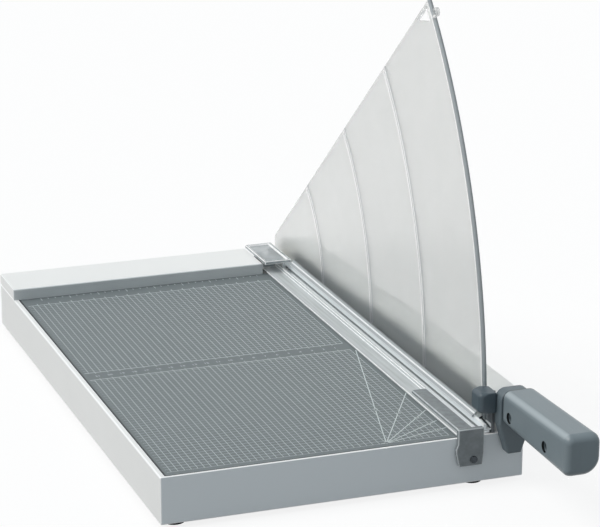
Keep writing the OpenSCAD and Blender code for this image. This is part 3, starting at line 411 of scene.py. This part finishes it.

# Each band, its colour and how much it covers. A bead is a painted highlight with a line of painted
# shade outside it
bands = [(rim_highlight, "#F7F9F9", 0.8), (rim, "#B4BABD", 0.96), (far_rim_shade, "#6A7276", 0.96),
         (foot, "#A6ACAF", 0.97), (foot_crest_highlight, "#F4F6F6", 0.97), (foot_lip_highlight, "#D8DCDD", 0.97)]
for near_side, far_side in zip(bead_radii[::2], bead_radii[1::2]):
    bright = add_node(tree, "Math", {0: (radius, "Value"), 1: (near_side + far_side) / 2,
                                     2: (far_side - near_side) / 2 + 2 * MM}, operation="COMPARE")
    dark = add_node(tree, "Math", {0: (radius, "Value"), 1: far_side + 3 * MM, 2: 1.1 * MM},
                    operation="COMPARE")
    for line, colour, cover in ((bright, "#FFFFFF", 0.6), (dark, "#7A8082", 0.8)):
        on_face = add_node(tree, "Math", {0: (line, 0), 1: (face, 0)}, operation="MULTIPLY")
        bands.append((on_face, colour, cover))

ripple = add_node(tree, "TexNoise", {"Vector": (place, "Object"), "Scale": 1000 / 30, "Detail": 1.0})
haze = add_node(tree, "MapRange", {**SPREAD, "Value": (ripple, 0), "To Min": 0.48, "To Max": 0.5})
# The narrow sides are painted a darker grey, as shade on the sheet's edges
tint = add_node(tree, "Mix", {0: (side, 0), 6: linear("#D6DAD6"), 7: linear("#B9BEBF")},
                data_type="RGBA")
dense = add_node(tree, "Mix", {0: (side, 0), 2: (haze, 0), 3: 0.5})
for band, colour, cover in bands:
    tint = add_node(tree, "Mix", {0: (band, 0), 6: (tint, 2), 7: linear(colour)}, data_type="RGBA")
    dense = add_node(tree, "Mix", {0: (band, 0), 2: (dense, 0), 3: cover})
thick = add_node(tree, "Math", {0: (rim, 0), 1: (foot, 0)}, operation="MAXIMUM")
through = add_node(tree, "MapRange", {"Value": (thick, 0), "To Min": 1.0, "To Max": 0.15})
relief = add_node(tree, "Bump", {"Height": (ripple, 0), "Strength": 0.03, "Distance": 0.05 * MM})
end_in_shader(tree, {"Base Color": (tint, 2), "Roughness": 0.36, "IOR": 1.49, "Alpha": (dense, 0),
                     "Transmission Weight": (through, 0), "Normal": (relief, 0)})
dress("guard_panel", guard_acrylic, 0.07)


# ---- Guard channel
# A U-shaped channel in cloudy acrylic, screwed to the bed knife at the front, holds the guard's
# foot. It has a faint glow of its own, painted light for the daylight that gathers in it, so that
# it looks lighter than what is behind it.

def cloudy(name, colour, alpha, roughness, streak_mm, stretch=(1, 1, 1)):
    """Moulded see-through plastic, more or less cloudy along the way the melt ran."""
    finish, tree = new_finish(name)
    place = add_node(tree, "TexCoord")
    along = add_node(tree, "Mapping", {"Vector": (place, "Object"), "Scale": stretch})
    melt = add_node(tree, "TexNoise", {"Vector": (along, 0), "Scale": 1000 / streak_mm, "Detail": 3.0})
    dense = add_node(tree, "MapRange", {**SPREAD, "Value": (melt, 0), "To Min": alpha - 0.06,
                                        "To Max": alpha + 0.06})
    relief = add_node(tree, "Bump", {"Height": (melt, 0), "Strength": 0.2, "Distance": 0.05 * MM})
    end_in_shader(tree, {"Base Color": (mottle(tree, melt, colour, 0.9), 2), "Roughness": roughness,
                         "Alpha": (dense, 0), "Normal": (relief, 0)})
    return finish


# A white, glossier finish for the corners of clear pieces: a painted highlight
corner_highlight = cloudy("acrylic_corner_painted_highlight", "#FFFFFF", 0.94, 0.2, 6)
channel_acrylic = cloudy("acrylic_moulded_cloudy", "#E3E7E8", 0.95, 0.25, 4, (1, 0.05, 1))
# Painted light: a faint glow of its own
shader_of(channel_acrylic).inputs["Emission Color"].default_value = linear("#E3EBEE")
shader_of(channel_acrylic).inputs["Emission Strength"].default_value = 0.2
dress("guard_channel", channel_acrylic, 0.5, 2, corner_highlight, free=True)


# ---- Wire catch at the guard's front end
# A blackened spring wire with a short cross bar holds the front of the guard's foot. It runs down
# into the channel's right wall, over the screw that fixes the channel.

def wire(mesh, start, end, radius, sides=12):
    """A straight round run of wire with rounded ends."""
    axis = (end - start).normalized()
    aside = axis.orthogonal().normalized()
    up = axis.cross(aside)
    tip = axis * radius * 0.4
    rings = []
    for centre, size in ((start - tip, 0.6), (start, 1), (end, 1), (end + tip, 0.6)):
        rings.append([mesh.verts.new(centre + radius * size * (math.cos(a) * aside + math.sin(a) * up))
                      for a in (math.tau * k / sides for k in range(sides))])
    for near, far in zip(rings, rings[1:]):
        for k in range(sides):
            mesh.faces.new((near[k], near[k - 1], far[k - 1], far[k])).smooth = True
    mesh.faces.new(rings[0])
    mesh.faces.new(rings[-1][::-1])


WIRE_RADIUS = 0.75 * MM
channel_low, channel_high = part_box("guard_channel")
foot_front = min(v.co.y for v in guard_mesh.vertices if v.co.z < channel_high.z)
# The top lies on the foot with the cross bar, the bottom in the channel's wall
top = Vector((bead_x - 1.4 * MM, foot_front - 1.4 * MM, channel_high.z + 3.3 * MM))
bottom = Vector((channel_high.x - 0.8 * MM, channel_low.y + 0.4 * MM, channel_high.z - 3.3 * MM))
half_bar = Vector((0.78, 0.63, 0.0)) * 1.8 * MM
runs = bmesh.new()
wire(runs, top, bottom, WIRE_RADIUS)
wire(runs, top - half_bar, top + half_bar, WIRE_RADIUS)
bmesh.ops.recalc_face_normals(runs, faces=runs.faces)
catch = build("guard_catch_wire", runs, plated("steel_wire_blackened", "#4A4F52", 0.4, 0.8))
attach(catch, "base")


# ---- Pivot: bracket, bolt, washer, disc spring, bush and knuckle
# The bracket is pressed steel, the washer natural nylon, the bush bronze and the knuckle a zinc
# casting. The arm turns on the bolt, and the disc spring keeps the blade against the bed knife.

dress("pivot_bracket", plated("steel_pressed_bare", "#B6B8BA", 0.38, 1.2), 0.3)
dress("pivot_bolt", plated("steel_turned_bare", "#B0B2B5", 0.3, 0.8), 0.2)
dress("disc_spring", plated("spring_steel_oiled", "#7F8286", 0.35, 0.8), 0)
dress("thrust_washer", moulded("nylon_turned_natural", "#D8D2C0", 0.4, 0.5, 0.01), 0.15)
dress("pivot_bush", plated("bronze_turned", "#B08A52", 0.35, 0.8), 0.15)
dress("pivot_knuckle", plated("zinc_die_cast", "#9A9C9E", 0.5, 0.6), 0.5)


# ---- Arm beam and blade
# The arm is a coated aluminium extrusion, open below. The blade is tool steel, ground along its
# length and oiled, which leaves it a dull grey. It is screwed inside the arm's left wall.

dress("arm_beam", coat("powder_coat_on_arm", "#E9E9E7", 0.45, 0.9, 0.02), 1.2, 3)
dress("upper_blade", plated("tool_steel_ground_oiled", "#878C90", 0.5, 3, (1, 0.03, 1), 0.05), 0.05)


# ---- Slider, hand guard and tang
# The slider is moulded in dark slate ABS, the hand guard in a lighter one with a textured face.
# The tang is a flat steel bar that joins the arm to the handle through the hand guard.

dark_abs = moulded("abs_moulded_dark_slate", "#44525A", 0.42, 0.5, 0.02)
dress("guard_slider", dark_abs, 0.9, 3, free=True)
guard_abs = moulded("abs_moulded_slate_textured", "#5C686E", 0.45, 0.45, 0.02)
dress("hand_guard", guard_abs, 1.2, 3, free=True)
dress("handle_tang", plated("steel_flat_rolled", "#A9ABAE", 0.4, 1.0, (1, 0.1, 1)), 0.3)


# ---- Handle
# Two shells of satin slate ABS, screwed together through the tang from the left. The upper left
# edge carries a painted highlight. The mouths of the screw recesses and the seam at the hand guard
# are painted black, as shade.

handle_abs = moulded("abs_moulded_slate", "#7B868B", 0.33, 0.45, 0.02)
shader_of(handle_abs).inputs["Specular IOR Level"].default_value = 0.25
screws_low, screws_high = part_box("handle_screws")
shell_low, shell_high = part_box("handle_left_shell")
head_radius = (screws_high.z - screws_low.z) / 2
screw_z = (screws_high.z + screws_low.z) / 2

tree = handle_abs.node_tree
place = add_node(tree, "TexCoord")
inside = add_node(tree, "SeparateXYZ", {"Vector": (place, "Object")})
# Painted highlight on the faces turned up and to the left
upper_left = add_node(tree, "VectorMath", {0: (place, "Normal"), 1: (-0.6, 0.0, 0.8)},
                      operation="DOT_PRODUCT")
upper_left_highlight = add_node(tree, "MapRange", {"Value": (upper_left, "Value"), "From Min": 0.86, "From Max": 1.0,
                                   "To Max": 0.5})
overlay(handle_abs, upper_left_highlight, "#C3CCCF")

across = add_node(tree, "VectorMath", {0: (place, "Object"), 1: (0.0, 1.0, 1.0)},
                  operation="MULTIPLY")
in_recess = []
for y in (screws_low.y + head_radius, screws_high.y - head_radius):
    gap = add_node(tree, "VectorMath", {0: (across, 0), 1: (0.0, y, screw_z)}, operation="DISTANCE")
    in_recess.append(add_node(tree, "Math", {0: (gap, "Value"), 1: head_radius + 1.5 * MM},
                              operation="LESS_THAN"))
near = add_node(tree, "Math", {0: (in_recess[0], 0), 1: (in_recess[1], 0)}, operation="MAXIMUM")
sunk = add_node(tree, "Math", {0: (inside, "X"), 1: shell_low.x + 1.1 * MM, 2: 0.8 * MM},
                operation="COMPARE")
mouth = add_node(tree, "Math", {0: (near, 0), 1: (sunk, 0)}, operation="MULTIPLY")
# Painted shade in the mouths of the screw recesses
overlay(handle_abs, mouth, "#101314")
seam = add_node(tree, "Math", {0: (inside, "Y"), 1: shell_high.y, 2: 0.7 * MM}, operation="COMPARE")
# Painted shade along the seam at the hand guard
overlay(handle_abs, seam, "#1E2426")

dress("handle_screws", moulded("zinc_flake_dipped", "#D9DCDE", 0.45, 0.5, 0.01), 0.15)
dress("handle_left_shell", handle_abs, 0.5)
dress("handle_right_shell", handle_abs, 0.5)


# ---- Paper clamp
# A frosted polycarbonate bar with a smoky cap in front and a clear plate behind, all with painted
# highlights on their corners. Two drawn steel posts guide it, and two oiled coil springs lift it.

frosted = cloudy("polycarbonate_frosted", "#E0E5E6", 0.6, 0.4, 3, (1, 0.04, 1))
dress("clamp_bar", frosted, 0.5, 2, corner_highlight, free=True)
smoky = cloudy("polycarbonate_smoky", "#8A9194", 0.84, 0.25, 5)
# Lighter finish for the cap's corners: a painted highlight
smoky_corner_highlight = cloudy("polycarbonate_smoky_corner_painted_highlight", "#C6CBCD", 0.9, 0.2, 6)
dress("clamp_front_cap", smoky, 0.7, 3, smoky_corner_highlight, free=True)
plate_clear = cloudy("polycarbonate_clear_plate", "#AEB6B8", 0.62, 0.2, 12)
dress("clamp_back_plate", plate_clear, 0.6, 2, corner_highlight, free=True)
dress("clamp_posts", plated("steel_drawn_bright", "#C2C4C6", 0.25, 0.8), 0.4)
coil_steel = plated("spring_wire_oiled", "#8A8D90", 0.35, 0.6)
dress("clamp_front_spring", coil_steel, 0)
dress("clamp_rear_spring", coil_steel, 0)


# ---- Studio: pale floor, even white surroundings, a wide soft lamp and the camera
# The lamp stands high to the left, so the top is the lightest side and the front the darkest. The
# camera and clear or shiny pieces see the surroundings white; the light they give is dimmer.

def seen_directly(tree):
    """One for the rays that show the surroundings: straight, mirrored or through clear plastic."""
    path = add_node(tree, "LightPath")
    straight = add_node(tree, "Math", {0: (path, "Is Camera Ray"), 1: (path, "Is Glossy Ray")},
                        operation="MAXIMUM")
    return add_node(tree, "Math", {0: (straight, 0), 1: (path, "Is Transmission Ray")},
                    operation="MAXIMUM")


WHITE = (1.0, 1.0, 1.0, 1.0)
FLOOR_GLOW = 0.85
floor_paint, tree = new_finish("floor_white")
shown = seen_directly(tree)
tone = add_node(tree, "MapRange", {"Value": (shown, 0), "To Min": 0.3, "To Max": 0.98})
matt = add_node(tree, "BsdfDiffuse", {"Color": (tone, 0)})
glow = add_node(tree, "Emission", {"Color": WHITE})
share = add_node(tree, "Math", {0: (shown, 0), 1: FLOOR_GLOW}, operation="MULTIPLY")
mixed = add_node(tree, "MixShader", {0: (share, 0), 1: (matt, 0), 2: (glow, 0)})
add_node(tree, "OutputMaterial", {"Surface": (mixed, 0)})
floor_mesh = bmesh.new()
bmesh.ops.create_grid(floor_mesh, x_segments=1, y_segments=1, size=200)
build("floor", floor_mesh, floor_paint)

AMBIENT = (0.405, 0.452, 0.48, 1.0)
world = bpy.data.worlds.new("studio")
world.use_nodes = True
world.node_tree.nodes.clear()
bpy.context.scene.world = world
tree = world.node_tree
sky = add_node(tree, "Mix", {0: (seen_directly(tree), 0), 6: AMBIENT, 7: WHITE}, data_type="RGBA")
light = add_node(tree, "Background", {"Color": (sky, 2)})
add_node(tree, "OutputWorld", {"Surface": (light, 0)})

TOWARDS_LAMP = Vector((-0.628, 0.1, 0.772))
lamp_data = bpy.data.lights.new("lamp_left", "SUN")
lamp_data.energy = 1.96
lamp_data.color = (1.0, 0.975, 0.955)
lamp_data.angle = math.radians(35)
lamp = bpy.data.objects.new("lamp_left", lamp_data)
lamp.rotation_euler = TOWARDS_LAMP.to_track_quat("Z", "Y").to_euler()
bpy.context.collection.objects.link(lamp)

camera_data = bpy.data.cameras.new("camera")
camera_data.lens = 152.58
camera_data.sensor_width = 36
camera_data.clip_start = 0.05
camera = bpy.data.objects.new("camera", camera_data)
camera.location = (-0.62585, -1.78509, 0.72418)
camera.rotation_euler = [math.radians(angle) for angle in (72.622, -0.131, -20.044)]
bpy.context.collection.objects.link(camera)
bpy.context.scene.camera = camera
bpy.context.scene.view_settings.view_transform = "Standard"
